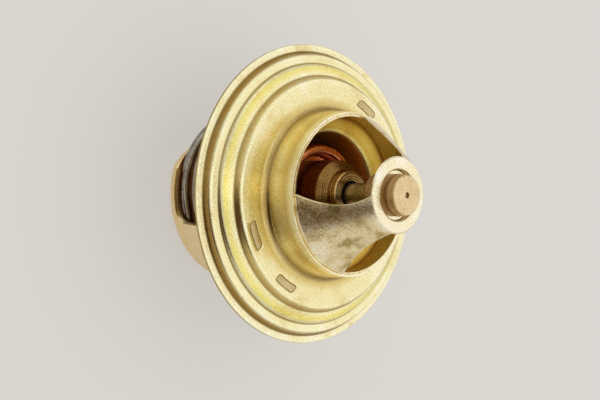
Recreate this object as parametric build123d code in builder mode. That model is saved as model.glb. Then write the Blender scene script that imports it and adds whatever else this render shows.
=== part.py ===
from build123d import *
import math
import os

# Gap left between pieces that are pressed, staked or bonded together
nest_gap = 0.02

# Every width runs outwards from one radius to the next, from the piston to the flange's rim,
# so the pieces stay nested when one of them changes. Bends are inside radii

# Flange plate, pressed from sheet; rises run upwards from the seating face, z = 0
plate_t = 0.5
collar_taper = 6.2
shoulder_w = 0.8
apron_w = 2.45
second_step_w = 0.4
land_w = 1.9
first_step_w = 0.7
rim_w = 1.75
first_rise = 1.8
second_rise = 0.85
apron_rise = 1.1
shoulder_rise = 1.45
collar_rise = 7.6
rim_bend = 0.8
land_bend = 0.3
step_bend = 0.4
apron_bend = 0.7
shoulder_bend = 0.6
collar_bend = 1.0

# Bridge, wedged in the collar from below
bridge_t = 0.45
ring_depth = 5.0
knee_rise = 0.5
hub_rise = 13.65
hub_face_w = 2.47
hub_recess = 1.45
recess_floor_w = 1.13
hub_core_w = 0.87
arm_foot_w = 4.55
arm_top_w = 1.5
arch_side_r = 26.0
knee_bend = 0.65
hub_bend = 0.35
hub_hole_bend = 0.05
recess_bend = 0.4

# Hub pin and piston
pin_head_r = 4.3
pin_band_w = 0.2
pin_shoulder_w = 0.4
pin_rise = 2.3
pin_band_rise = 0.95
pin_body_len = 4.1
pin_chamfer = 0.45
pin_foot_chamfer = 0.3
centre_mark_r = 0.62
centre_mark_depth = 1.3
piston_r = 2.5
piston_seat_depth = 3.0
piston_low_z = -16.0
piston_chamfer = 0.6

# Seat ring: flange, skirt, floor, lip and conical throat
seat_t = 0.5
seat_floor_w = 3.12
seat_land_w = 0.9
seat_flange_w = 6.93
seat_edge_gap = 0.6
throat_gap = 0.5
throat_lead_w = 1.55
throat_h = 5.2
skirt_bend = 1.2
seat_land_bend = 0.05
lip_bend = 0.2

# Valve disc and its seal; the disc's outer land is z = 0
disc_t = 0.6
disc_well_w = 1.25
disc_well_rise = 0.9
disc_inner_slope_w = 0.25
disc_crest_w = 1.75
disc_crest_rise = 4.3
disc_outer_slope_w = 1.15
disc_land_w = 3.3
disc_foot_bend = 0.4
disc_crest_bend = 0.2
disc_well_bend = 0.6
seal_t = 1.0
seal_foot_gap = 0.35
seal_edge_gap = 0.5
seal_chamfer = 0.5

# Wax element: guide body, neck seal and the parts that fill the cup
neck_r = 5.2
neck_h = 1.8
neck_lip_t = 0.6
neck_edge_r = 0.45
mouth_gap = 0.4
groove_depth = 0.35
groove_h = 0.45
cone_ledge_w = 0.55
cone_h = 1.9
cone_rings = 5
ring_face_share = 0.6
ring_cut = 0.14
barrel_ledge_w = 0.9
barrel_h = 8.5
running_gap = 0.05
soft_gap = 0.3
neck_seal_wall = 0.8
neck_seal_h = 2.6
spigot_r = 6.6
spigot_end_h = 0.5
washer_t = 0.5
sleeve_flange_t = 1.0
sleeve_wall = 1.5
sleeve_end_t = 1.6

# Wax cup
cup_t = 0.6
cup_fit = 0.05
cup_flange_w = 1.45
cup_stand = 1.8
crimp_neck_h = 0.8
crimp_half_h = 0.7
crimp_depth = 0.35
cup_corner_bend = 0.8
crimp_shoulder_bend = 0.05
crimp_bend = 0.3
cup_flange_bend = 0.4

# Lower cage
cage_t = 1.1
cage_low_z = -25.6
dish_wall_h = 0.4
dish_edge_w = 3.8
leg_lean = 2.3
leg_half_w = 7.3
leg_corner_r = 2.8
leg_flare_h = 8.7
leg_shoulder_h = 4.35
cage_bore_gap = 0.1
cage_burr_h = 1.6
burr_bend = 0.44
cage_corner_bend = 1.5
leg_bend = 5.0
tab_edge_w = 2.4
tab_inner_y = 4.1
tab_w = 5.5
tab_shoulder_w = 0.8
tab_corner_r = 0.5
tab_upset = 0.3
tab_proud = 0.08
slot_gap = 0.12

# Main spring
wire_d = 2.3
spring_rim_gap = 0.7
active_turns = 4
closed_turns = 1
coil_gap = 0.1
spring_seat_gap = 0.05
steps_per_turn = 8

# Heights of the flange plate's steps, the bridge and the hub
first_step_z = plate_t + first_rise
second_step_z = first_step_z + second_rise
shoulder_z = second_step_z + apron_rise
annulus_z = shoulder_z + shoulder_rise
plate_under_z = annulus_z - plate_t
collar_top_z = annulus_z + collar_rise
ring_low_z = collar_top_z - ring_depth
ring_foot_z = ring_low_z - bridge_t
knee_z = collar_top_z + knee_rise
hub_z = collar_top_z + hub_rise
recess_z = hub_z - hub_recess

# Places on the wax element, from the piston outwards
bore_r = piston_r + running_gap
soft_bore_r = piston_r + soft_gap
neck_mouth_r = bore_r + mouth_gap
seal_pocket_r = soft_bore_r + neck_seal_wall
groove_r = neck_r - groove_depth
cone_small_r = neck_r + cone_ledge_w
barrel_r = spigot_r + barrel_ledge_w
disc_well_z = disc_well_rise
barrel_top_z = disc_well_z + barrel_h
neck_base_z = barrel_top_z + cone_h
neck_top_z = neck_base_z + neck_h
seal_pocket_z = neck_top_z - neck_lip_t
cup_inner_r = spigot_r + cup_fit
cup_r = cup_inner_r + cup_t
cup_flange_r = cup_r + cup_flange_w
cup_flange_z = disc_well_z - disc_t - cup_t
crimp_z = cup_flange_z - crimp_neck_h - crimp_half_h
spigot_low_z = crimp_z - 2 * crimp_half_h - spigot_end_h
cup_low_z = cage_low_z - cup_stand
cup_floor_z = cup_low_z + cup_t
sleeve_top_z = spigot_low_z - washer_t
sleeve_r = soft_bore_r + sleeve_wall
sleeve_end_z = piston_low_z - soft_gap

# Places on the valve disc, the throat that it closes and the seat ring
disc_well_r = barrel_r + disc_well_w
disc_crest_inner_r = disc_well_r + disc_inner_slope_w
disc_crest_outer_r = disc_crest_inner_r + disc_crest_w
disc_foot_r = disc_crest_outer_r + disc_outer_slope_w
disc_r = disc_foot_r + disc_land_w
seal_inner_r = disc_foot_r + seal_foot_gap
seal_outer_r = disc_r - seal_edge_gap
throat_low_r = disc_foot_r + throat_gap
throat_low_z = seal_t
seat_lip_r = throat_low_r + throat_lead_w
seat_lip_z = throat_low_z + throat_h
seat_land_r = seat_lip_r + seat_floor_w
land_r = seat_land_r + seat_land_w
seat_flange_r = land_r + seat_flange_w

# Radii of the flange plate; its collar is wrapped round the seat ring's skirt
taper_tan = math.tan(math.radians(collar_taper))
taper_cos = math.cos(math.radians(collar_taper))
collar_base_r = land_r + nest_gap + plate_t / taper_cos + (ring_low_z - annulus_z) * taper_tan
collar_top_r = collar_base_r - collar_rise * taper_tan
annulus_r = seat_flange_r + seat_edge_gap
shoulder_r = annulus_r + shoulder_w
second_step_r = shoulder_r + apron_w
land_inner_r = second_step_r + second_step_w
first_step_r = land_inner_r + land_w
rim_inner_r = first_step_r + first_step_w
flange_r = rim_inner_r + rim_w

# Places on the bridge, the hub pin and the piston
hub_hole_r = pin_head_r + recess_floor_w
hub_r = hub_hole_r + hub_face_w
arch_half_w = collar_top_r - arm_foot_w
arch_top_half_w = hub_r - arm_top_w
arch_core_r = hub_hole_r + hub_core_w
pin_band_r = pin_head_r + pin_band_w
pin_body_r = pin_head_r + pin_shoulder_w
pin_top_z = hub_z + pin_rise
pin_band_z = hub_z + pin_band_rise
pin_shoulder_z = recess_z - bridge_t
pin_foot_z = pin_shoulder_z - pin_body_len
piston_top_z = pin_foot_z + piston_seat_depth

# Places on the cage and the spring
leg_top_z = plate_under_z - seat_t
cage_floor_z = cage_low_z + cage_t
cage_bore_r = cup_r + cage_bore_gap
tab_r = annulus_r - tab_edge_w
tab_outer_y = tab_inner_y + tab_w
cage_r = tab_r - leg_lean
dish_rim_z = cage_floor_z + cage_corner_bend + dish_wall_h
dish_half_w = cage_r - dish_edge_w
leg_top_half_w = tab_outer_y + tab_shoulder_w
spring_low_r = cage_r - cage_t - cage_corner_bend
spring_top_r = disc_r - spring_rim_gap - wire_d / 2


def collar_outside(z):
    return collar_top_r + (collar_top_z - z) * taper_tan


def collar_inside(z):
    return collar_outside(z) - plate_t / taper_cos


def leg_outside(z):
    share = (z - dish_rim_z) / (annulus_z - dish_rim_z)
    return cage_r + (tab_r + cage_t / 2 - cage_r) * share


tab_pad_outer_r = leg_outside(annulus_z) + tab_upset
tab_pad_inner_r = leg_outside(plate_under_z) - cage_t - tab_upset


# The section of a pressed sheet: the line of one surface, thickened to its left. A bend is
# given by its inside radius, so where the line turns left it is the outside of the bend
def sheet_section(corners, inside_bends, gauge):
    line_bends = []
    for before, corner, after, bend in zip(corners, corners[1:], corners[2:], inside_bends):
        arriving = Vector(*corner) - Vector(*before)
        leaving = Vector(*after) - Vector(*corner)
        turns_left = arriving.cross(leaving).Z > 0
        line_bends.append(bend + gauge if turns_left else bend)
    with BuildSketch(Plane.XZ) as section:
        with BuildLine():
            FilletPolyline(*corners, radius=line_bends)
            offset(amount=gauge, side=Side.LEFT)
        make_face()
    return section.sketch


# The closed section of a turned or moulded piece
def turned_section(corners):
    with BuildSketch(Plane.XZ) as section:
        with BuildLine():
            Polyline(*corners, close=True)
        make_face()
    return section.sketch


# The four places where the cage's tabs pass the plates, seen from above and grown by a margin
def tab_patches(margin):
    with BuildSketch() as patches:
        Circle(tab_pad_outer_r + margin)
        Circle(tab_pad_inner_r - margin, mode=Mode.SUBTRACT)
        with Locations((0, tab_inner_y + tab_w / 2), (0, -tab_inner_y - tab_w / 2)):
            Rectangle(2 * flange_r, tab_w + 2 * margin, mode=Mode.INTERSECT)
        fillet(patches.vertices(), radius=tab_corner_r + margin)
    return patches.sketch


os.makedirs("parts", exist_ok=True)

# Flange plate: rim, stepped lands, flat annulus and the tapering collar, pressed from one blank
with BuildPart() as flange_plate:
    revolve(
        sheet_section(
            [
                (flange_r, plate_t),
                (rim_inner_r, plate_t),
                (first_step_r, first_step_z),
                (land_inner_r, first_step_z),
                (second_step_r, second_step_z),
                (shoulder_r, shoulder_z),
                (annulus_r, annulus_z),
                (collar_outside(annulus_z), annulus_z),
                (collar_top_r, collar_top_z),
            ],
            [rim_bend, land_bend, step_bend, apron_bend, shoulder_bend, land_bend, collar_bend],
            plate_t,
        ),
        axis=Axis.Z,
    )
    with BuildSketch(Plane.XY.offset(plate_under_z - plate_t)):
        add(tab_patches(slot_gap))
    extrude(amount=3 * plate_t, mode=Mode.SUBTRACT)
flange_plate.part.label = "flange_plate"
export_step(flange_plate.part, "parts/flange_plate.step")

# Seat ring: clamped under the annulus by the cage, with the land that carries the bridge
with BuildPart() as seat_ring:
    skirt_r = collar_inside(plate_under_z) - nest_gap
    throat_slope = throat_lead_w / throat_h
    revolve(
        sheet_section(
            [
                (seat_flange_r, plate_under_z),
                (skirt_r, plate_under_z),
                (land_r, ring_low_z),
                (seat_land_r, ring_low_z),
                (seat_lip_r, seat_lip_z),
                (throat_low_r - seat_t * throat_slope, throat_low_z - seat_t),
            ],
            [skirt_bend, seat_land_bend, seat_land_bend, lip_bend],
            seat_t,
        ),
        axis=Axis.Z,
    )
    split(bisect_by=Plane.XY.offset(throat_low_z), keep=Keep.TOP)
    with BuildSketch(Plane.XY.offset(leg_top_z - seat_t)):
        add(tab_patches(slot_gap))
    extrude(amount=3 * seat_t, mode=Mode.SUBTRACT)
seat_ring.part.label = "seat_ring"
export_step(seat_ring.part, "parts/seat_ring.step")

# One arched opening seen along Y; a core round the hub stays whole
with BuildPart() as arch_cutter:
    with BuildSketch(Plane.XZ):
        with BuildLine():
            arch_low_right = (arch_half_w, collar_top_z)
            arch_top_right = (arch_top_half_w, hub_z - bridge_t)
            arch_top_left = (-arch_top_half_w, hub_z - bridge_t)
            arch_low_left = (-arch_half_w, collar_top_z)
            Line(arch_low_left, arch_low_right)
            RadiusArc(arch_low_right, arch_top_right, -arch_side_r)
            Line(arch_top_right, arch_top_left)
            RadiusArc(arch_top_left, arch_low_left, -arch_side_r)
        make_face()
    extrude(amount=flange_r, both=True)
    Cylinder(arch_core_r, 2 * hub_z + 2 * hub_r, mode=Mode.SUBTRACT)

# Bridge: ring wedged in the collar, two arms of one cone and the recessed hub
with BuildPart() as bridge:
    revolve(
        sheet_section(
            [
                (collar_inside(ring_foot_z) - nest_gap, ring_foot_z),
                (collar_inside(knee_z) - nest_gap, knee_z),
                (hub_r, hub_z),
                (hub_hole_r, hub_z),
                (hub_hole_r, recess_z),
                (pin_head_r + nest_gap, recess_z),
            ],
            [knee_bend, hub_bend, hub_hole_bend, recess_bend],
            bridge_t,
        ),
        axis=Axis.Z,
    )
    split(bisect_by=Plane.XY.offset(ring_low_z), keep=Keep.TOP)
    add(arch_cutter.part, mode=Mode.SUBTRACT)
bridge.part.label = "bridge"
export_step(bridge.part, "parts/bridge.step")

# Hub pin: shouldered under the recess, riveted over it, bored below for the piston
with BuildPart() as hub_pin:
    revolve(
        turned_section(
            [
                (0, piston_top_z),
                (piston_r + nest_gap, piston_top_z),
                (piston_r + nest_gap, pin_foot_z),
                (pin_body_r - pin_foot_chamfer, pin_foot_z),
                (pin_body_r, pin_foot_z + pin_foot_chamfer),
                (pin_body_r, pin_shoulder_z),
                (pin_head_r, pin_shoulder_z),
                (pin_head_r, recess_z),
                (pin_band_r, recess_z),
                (pin_band_r, pin_band_z),
                (pin_head_r, pin_band_z),
                (pin_head_r, pin_top_z - pin_chamfer),
                (pin_head_r - pin_chamfer, pin_top_z),
                (centre_mark_r, pin_top_z),
                (centre_mark_r, pin_top_z - centre_mark_depth + centre_mark_r),
                (0, pin_top_z - centre_mark_depth),
            ]
        ),
        axis=Axis.Z,
    )
hub_pin.part.label = "hub_pin"
export_step(hub_pin.part, "parts/hub_pin.step")

# Piston: ground pin, seated in the hub pin and pushed out of the wax element
with BuildPart() as piston:
    with BuildSketch(Plane.XY.offset(piston_low_z)):
        Circle(piston_r)
    extrude(amount=piston_top_z - piston_low_z)
    chamfer(piston.edges().group_by(Axis.Z)[0], length=piston_chamfer)
piston.part.label = "piston"
export_step(piston.part, "parts/piston.step")

# Valve disc: outer land, raised ridge and the well that the element passes
with BuildPart() as valve_disc:
    revolve(
        sheet_section(
            [
                (disc_r, 0),
                (disc_foot_r, 0),
                (disc_crest_outer_r, disc_crest_rise),
                (disc_crest_inner_r, disc_crest_rise),
                (disc_well_r, disc_well_z),
                (spigot_r + nest_gap, disc_well_z),
            ],
            [disc_foot_bend, disc_crest_bend, disc_crest_bend, disc_well_bend],
            disc_t,
        ),
        axis=Axis.Z,
    )
valve_disc.part.label = "valve_disc"
export_step(valve_disc.part, "parts/valve_disc.step")

# Valve seal: flat rubber ring bonded on the disc, closed by the throat's edge
with BuildPart() as valve_seal:
    with BuildSketch():
        Circle(seal_outer_r)
        Circle(seal_inner_r, mode=Mode.SUBTRACT)
    extrude(amount=throat_low_z)
    chamfer(valve_seal.edges().group_by(Axis.Z)[-1].sort_by(SortBy.LENGTH)[-1], length=seal_chamfer)
valve_seal.part.label = "valve_seal"
export_step(valve_seal.part, "parts/valve_seal.step")

# Guide body: the turned brass top of the wax element, with rings on its cone and a rolled neck
with BuildPart() as guide_body:
    ring_pitch = cone_h / cone_rings
    ring_step = (barrel_r - cone_small_r) / cone_rings
    cone_points = []
    for ring in range(cone_rings):
        ring_r = barrel_r - ring * ring_step
        ring_z = barrel_top_z + ring * ring_pitch
        cone_points.append((ring_r, ring_z))
        cone_points.append((ring_r - ring_step - ring_cut, ring_z + ring_face_share * ring_pitch))
    revolve(
        turned_section(
            [
                (bore_r, spigot_low_z),
                (spigot_r, spigot_low_z),
                (spigot_r, crimp_z - 2 * crimp_half_h),
                (spigot_r - crimp_depth, crimp_z - crimp_half_h / 2),
                (spigot_r - crimp_depth, crimp_z + crimp_half_h / 2),
                (spigot_r, crimp_z + 2 * crimp_half_h),
                (spigot_r, disc_well_z),
                (barrel_r, disc_well_z),
                *cone_points,
                (cone_small_r, neck_base_z),
                (groove_r, neck_base_z),
                (groove_r, neck_base_z + groove_h),
                (neck_r, neck_base_z + groove_h),
                (neck_r, neck_top_z),
                (neck_mouth_r, neck_top_z),
                (neck_mouth_r, seal_pocket_z),
                (seal_pocket_r + nest_gap, seal_pocket_z),
                (seal_pocket_r + nest_gap, seal_pocket_z - neck_seal_h),
                (bore_r, seal_pocket_z - neck_seal_h),
            ]
        ),
        axis=Axis.Z,
    )
    fillet(guide_body.edges().group_by(Axis.Z)[-1].sort_by(SortBy.LENGTH)[-1], radius=neck_edge_r)
guide_body.part.label = "guide_body"
export_step(guide_body.part, "parts/guide_body.step")

# Neck seal: rubber ring held under the rolled lip of the neck
with BuildPart() as neck_seal:
    with BuildSketch(Plane.XY.offset(seal_pocket_z)):
        Circle(seal_pocket_r)
        Circle(soft_bore_r, mode=Mode.SUBTRACT)
    extrude(amount=-neck_seal_h)
neck_seal.part.label = "neck_seal"
export_step(neck_seal.part, "parts/neck_seal.step")

# Wax cup: drawn copper cup, crimped into the guide body's groove under the valve disc
with BuildPart() as wax_cup:
    revolve(
        sheet_section(
            [
                (0, cup_low_z),
                (cup_r, cup_low_z),
                (cup_r, crimp_z - crimp_half_h),
                (cup_r - crimp_depth, crimp_z),
                (cup_r, crimp_z + crimp_half_h),
                (cup_r, cup_flange_z),
                (cup_flange_r, cup_flange_z),
            ],
            [cup_corner_bend, crimp_shoulder_bend, crimp_bend, crimp_shoulder_bend, cup_flange_bend],
            cup_t,
        ),
        axis=Axis.Z,
    )
wax_cup.part.label = "wax_cup"
export_step(wax_cup.part, "parts/wax_cup.step")

# Sleeve washer: steel ring that keeps the rubber sleeve out of the guide body's bore
with BuildPart() as sleeve_washer:
    with BuildSketch(Plane.XY.offset(sleeve_top_z)):
        Circle(cup_inner_r - nest_gap)
        Circle(bore_r, mode=Mode.SUBTRACT)
    extrude(amount=washer_t)
sleeve_washer.part.label = "sleeve_washer"
export_step(sleeve_washer.part, "parts/sleeve_washer.step")

# Rubber sleeve: flanged, closed below, squeezed by the wax round the piston
with BuildPart() as rubber_sleeve:
    revolve(
        turned_section(
            [
                (soft_bore_r, sleeve_top_z),
                (cup_inner_r - nest_gap, sleeve_top_z),
                (cup_inner_r - nest_gap, sleeve_top_z - sleeve_flange_t),
                (sleeve_r, sleeve_top_z - sleeve_flange_t),
                (sleeve_r, sleeve_end_z - sleeve_end_t),
                (0, sleeve_end_z - sleeve_end_t),
                (0, sleeve_end_z),
                (soft_bore_r, sleeve_end_z),
            ]
        ),
        axis=Axis.Z,
    )
rubber_sleeve.part.label = "rubber_sleeve"
export_step(rubber_sleeve.part, "parts/rubber_sleeve.step")

# Wax charge: fills the cup round and below the sleeve
with BuildPart() as wax_charge:
    wax_corner = cup_corner_bend + nest_gap
    revolve(
        turned_section(
            [
                (sleeve_r + nest_gap, sleeve_top_z - sleeve_flange_t),
                (cup_inner_r - nest_gap, sleeve_top_z - sleeve_flange_t),
                (cup_inner_r - nest_gap, cup_floor_z + wax_corner),
                (cup_inner_r - nest_gap - wax_corner, cup_floor_z),
                (0, cup_floor_z),
                (0, sleeve_end_z - sleeve_end_t),
                (sleeve_r + nest_gap, sleeve_end_z - sleeve_end_t),
            ]
        ),
        axis=Axis.Z,
    )
wax_charge.part.label = "wax_charge"
export_step(wax_charge.part, "parts/wax_charge.step")

# Lower cage: one strap, turned up round the spring, dished at the foot and bored for the cup
with BuildPart() as lower_cage:
    revolve(
        sheet_section(
            [
                (cage_bore_r, cage_floor_z + cage_burr_h),
                (cage_bore_r, cage_low_z),
                (cage_r, cage_low_z),
                (cage_r, dish_rim_z),
                (leg_outside(leg_top_z), leg_top_z),
            ],
            [burr_bend, cage_corner_bend, leg_bend],
            cage_t,
        ),
        axis=Axis.Z,
    )
    with BuildSketch(Plane.YZ) as strap_outline:
        with BuildLine():
            Polyline(
                (0, cage_low_z - cage_t),
                (dish_half_w, cage_low_z - cage_t),
                (dish_half_w, dish_rim_z),
                (leg_half_w, dish_rim_z),
                (leg_half_w, leg_top_z - leg_flare_h),
                (leg_top_half_w, leg_top_z - leg_shoulder_h),
                (leg_top_half_w, leg_top_z + cage_t),
                (0, leg_top_z + cage_t),
            )
            mirror(about=Plane.YZ)
        make_face()
        rim_corners = strap_outline.vertices().group_by(Axis.Y)[1].sort_by(Axis.X)[1:-1]
        fillet(rim_corners, radius=leg_corner_r)
    extrude(amount=flange_r, both=True, mode=Mode.INTERSECT)
    split(bisect_by=Plane.XY.offset(leg_top_z), keep=Keep.BOTTOM)
    with BuildSketch(Plane.XY.offset(leg_top_z)):
        add(tab_patches(0))
    extrude(amount=annulus_z + tab_proud - leg_top_z)
lower_cage.part.label = "lower_cage"
export_step(lower_cage.part, "parts/lower_cage.step")

# Main spring: conical wire from the cage floor to the disc, with a closed turn at each end
with BuildPart() as main_spring:
    wire_low_z = cage_floor_z + spring_seat_gap + wire_d / 2
    wire_top_z = -disc_t - spring_seat_gap - wire_d / 2
    spring_turns = active_turns + 2 * closed_turns
    closed_pitch = wire_d + coil_gap
    open_pitch = (wire_top_z - wire_low_z - 2 * closed_turns * closed_pitch) / active_turns
    wire_points = []
    for step in range(spring_turns * steps_per_turn + 1):
        turn = step / steps_per_turn
        low_closed = min(turn, closed_turns)
        top_closed = max(turn - closed_turns - active_turns, 0)
        active = turn - low_closed - top_closed
        coil_z = wire_low_z + (low_closed + top_closed) * closed_pitch + active * open_pitch
        coil_r = spring_low_r + (spring_top_r - spring_low_r) * turn / spring_turns
        coil_angle = 2 * math.pi * turn
        wire_points.append((coil_r * math.cos(coil_angle), coil_r * math.sin(coil_angle), coil_z))
    with BuildLine() as wire_line:
        Spline(*wire_points)
    with BuildSketch(Plane(wire_line.line @ 0, z_dir=wire_line.line % 0)):
        Circle(wire_d / 2)
    sweep(path=wire_line.line)
main_spring.part.label = "main_spring"
export_step(main_spring.part, "parts/main_spring.step")
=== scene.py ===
import math

import bmesh
import bpy
from mathutils import Matrix, Vector


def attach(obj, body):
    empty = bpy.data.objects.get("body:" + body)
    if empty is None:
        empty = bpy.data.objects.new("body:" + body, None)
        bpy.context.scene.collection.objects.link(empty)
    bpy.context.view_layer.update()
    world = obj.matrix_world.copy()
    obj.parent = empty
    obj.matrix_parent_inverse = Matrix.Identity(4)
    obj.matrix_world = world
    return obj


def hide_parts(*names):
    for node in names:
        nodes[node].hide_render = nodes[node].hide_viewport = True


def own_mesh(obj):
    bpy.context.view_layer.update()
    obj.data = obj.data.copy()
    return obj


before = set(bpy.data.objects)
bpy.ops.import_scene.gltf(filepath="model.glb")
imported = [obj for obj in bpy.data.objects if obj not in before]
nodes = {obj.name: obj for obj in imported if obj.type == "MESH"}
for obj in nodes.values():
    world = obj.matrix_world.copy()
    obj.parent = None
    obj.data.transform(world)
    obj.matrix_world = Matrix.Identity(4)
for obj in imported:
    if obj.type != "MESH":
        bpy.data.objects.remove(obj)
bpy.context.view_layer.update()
mm = 0.001

# The photograph's viewpoint, in the part's own frame
viewpoint = {
    "place": (-0.155894, 0.132980, 0.209141),
    "forward": (0.525294, -0.454550, -0.719340),
    "up": (0.642718, 0.765962, -0.014669),
    "lens": 78.0,
    "sensor": 36.0,
}


def viewAxes(view):
    forward = Vector(view["forward"]).normalized()
    right = forward.cross(Vector(view["up"])).normalized()
    return right, right.cross(forward), -forward


def addCamera(view):
    right, up, back = viewAxes(view)
    data = bpy.data.cameras.new("photoCamera")
    data.lens = view["lens"]
    data.sensor_width = view["sensor"]
    data.sensor_fit = "HORIZONTAL"
    data.clip_start = 0.01
    camera = bpy.data.objects.new("photoCamera", data)
    camera.matrix_world = Matrix((right, up, back)).transposed().to_4x4()
    camera.matrix_world.translation = Vector(view["place"])
    bpy.context.collection.objects.link(camera)
    bpy.context.scene.camera = camera


addCamera(viewpoint)
bpy.context.scene.view_settings.view_transform = "Standard"
print("camera placed")


# Node helpers for the materials
def newMaterial(name):
    material = bpy.data.materials.new(name)
    material.use_nodes = True
    tree = material.node_tree
    return material, tree, tree.nodes["Principled BSDF"]


def addNode(tree, kind, **settings):
    node = tree.nodes.new(kind)
    for key, value in settings.items():
        if key in node.inputs:
            node.inputs[key].default_value = value
        else:
            setattr(node, key, value)
    return node


def objectPoint(tree):
    return addNode(tree, "ShaderNodeTexCoord").outputs["Object"]


def noiseField(tree, point, scale, detail=3.0, rough=0.5, stretch=None):
    if stretch:
        mapping = addNode(tree, "ShaderNodeMapping")
        mapping.inputs["Scale"].default_value = stretch
        tree.links.new(point, mapping.inputs["Vector"])
        point = mapping.outputs["Vector"]
    noise = addNode(tree, "ShaderNodeTexNoise", Scale=scale, Detail=detail, Roughness=rough)
    tree.links.new(point, noise.inputs["Vector"])
    return noise.outputs["Fac"]


def colourRamp(tree, factor, stops):
    ramp = addNode(tree, "ShaderNodeValToRGB")
    while len(ramp.color_ramp.elements) < len(stops):
        ramp.color_ramp.elements.new(0.5)
    for element, (place, colour) in zip(ramp.color_ramp.elements, stops):
        element.position = place
        element.color = (*colour, 1.0)
    tree.links.new(factor, ramp.inputs["Fac"])
    return ramp.outputs["Color"]


def valueRange(tree, factor, low, high, fromLow=0.3, fromHigh=0.7):
    span = addNode(tree, "ShaderNodeMapRange")
    span.inputs["From Min"].default_value = fromLow
    span.inputs["From Max"].default_value = fromHigh
    span.inputs["To Min"].default_value = low
    span.inputs["To Max"].default_value = high
    tree.links.new(factor, span.inputs["Value"])
    return span.outputs["Result"]


def addBump(tree, shader, heights):
    # heights: (factor, strength, distance in mm), the first one deepest
    last = None
    for factor, strength, distance in heights:
        bump = addNode(tree, "ShaderNodeBump", Strength=strength, Distance=distance * mm)
        tree.links.new(factor, bump.inputs["Height"])
        if last:
            tree.links.new(last, bump.inputs["Normal"])
        last = bump.outputs["Normal"]
    tree.links.new(last, shader.inputs["Normal"])


def tinted(tree, colour, tint):
    mix = addNode(tree, "ShaderNodeMix", data_type="RGBA", blend_type="MULTIPLY")
    mix.inputs[0].default_value = 1.0
    tree.links.new(colour, mix.inputs[6])
    tree.links.new(tint, mix.inputs[7])
    return mix.outputs[2]


def radiusShare(tree, point, widest):
    # distance from the valve's axis as a share of the widest radius, in mm
    flat = addNode(tree, "ShaderNodeVectorMath", operation="MULTIPLY")
    flat.inputs[1].default_value = (1 / (widest * mm), 1 / (widest * mm), 0.0)
    tree.links.new(point, flat.inputs[0])
    far = addNode(tree, "ShaderNodeVectorMath", operation="LENGTH")
    tree.links.new(flat.outputs[0], far.inputs[0])
    return far.outputs["Value"]


waveHeight = 0.05


def sheetMetal(name, look):
    material, tree, shader = newMaterial(name)
    point = objectPoint(tree)
    stain = noiseField(tree, point, look["stainScale"], 4.0, 0.6)
    grain = noiseField(tree, point, look["grainScale"], 4.0, 0.65)
    colour = tinted(tree, colourRamp(tree, stain, look["colours"]), colourRamp(tree, grain, look["specks"]))
    # Tints by radius and by height follow: bands round the axis, mostly painted highlights and painted shade.
    if "rings" in look:
        stops = [(radius / look["widest"], tint) for radius, tint in look["rings"]]
        colour = tinted(tree, colour, colourRamp(tree, radiusShare(tree, point, look["widest"]), stops))
    if "paintedLightByHeight" in look:
        parts = addNode(tree, "ShaderNodeSeparateXYZ")
        tree.links.new(point, parts.inputs[0])
        stops = [(height / look["tallest"], tint) for height, tint in look["paintedLightByHeight"]]
        share = valueRange(tree, parts.outputs["Z"], 0.0, 1.0, 0.0, look["tallest"] * mm)
        colour = tinted(tree, colour, colourRamp(tree, share, stops))
    wave = noiseField(tree, point, look["waveScale"], 2.0, 0.5)
    heights = [(wave, look["waveDepth"], waveHeight), (grain, 1.0, look["grainDepth"])]
    if "turnPitch" in look:
        # tool marks: fine rings round the axis, on walls and on ends alike
        parts = addNode(tree, "ShaderNodeSeparateXYZ")
        tree.links.new(point, parts.inputs[0])
        run = addNode(tree, "ShaderNodeMath", operation="MULTIPLY_ADD")
        run.inputs[1].default_value = 2 * math.pi * look["widest"] / look["turnPitch"]
        tree.links.new(radiusShare(tree, point, look["widest"]), run.inputs[0])
        rise = addNode(tree, "ShaderNodeMath", operation="MULTIPLY")
        rise.inputs[1].default_value = -2 * math.pi / (look["turnPitch"] * mm)
        tree.links.new(parts.outputs["Z"], rise.inputs[0])
        tree.links.new(rise.outputs[0], run.inputs[2])
        mark = addNode(tree, "ShaderNodeMath", operation="SINE")
        tree.links.new(run.outputs[0], mark.inputs[0])
        heights.append((mark.outputs[0], 1.0, look["turnDepth"]))
    if "scratches" in look:
        turned = addNode(tree, "ShaderNodeMapping")
        turned.inputs["Rotation"].default_value = look["scratchTurn"]
        tree.links.new(point, turned.inputs["Vector"])
        scratch = noiseField(tree, turned.outputs["Vector"], look["scratchScale"], 3.0, 0.7, (1.0, 14.0, 14.0))
        colour = tinted(tree, colour, colourRamp(tree, scratch, look["scratches"]))
        heights.append((scratch, 1.0, look["scratchDepth"]))
    tree.links.new(colour, shader.inputs["Base Color"])
    tree.links.new(valueRange(tree, grain, *look["roughness"]), shader.inputs["Roughness"])
    shader.inputs["Metallic"].default_value = look.get("metallic", 1.0)
    addBump(tree, shader, heights)
    return material


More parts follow.
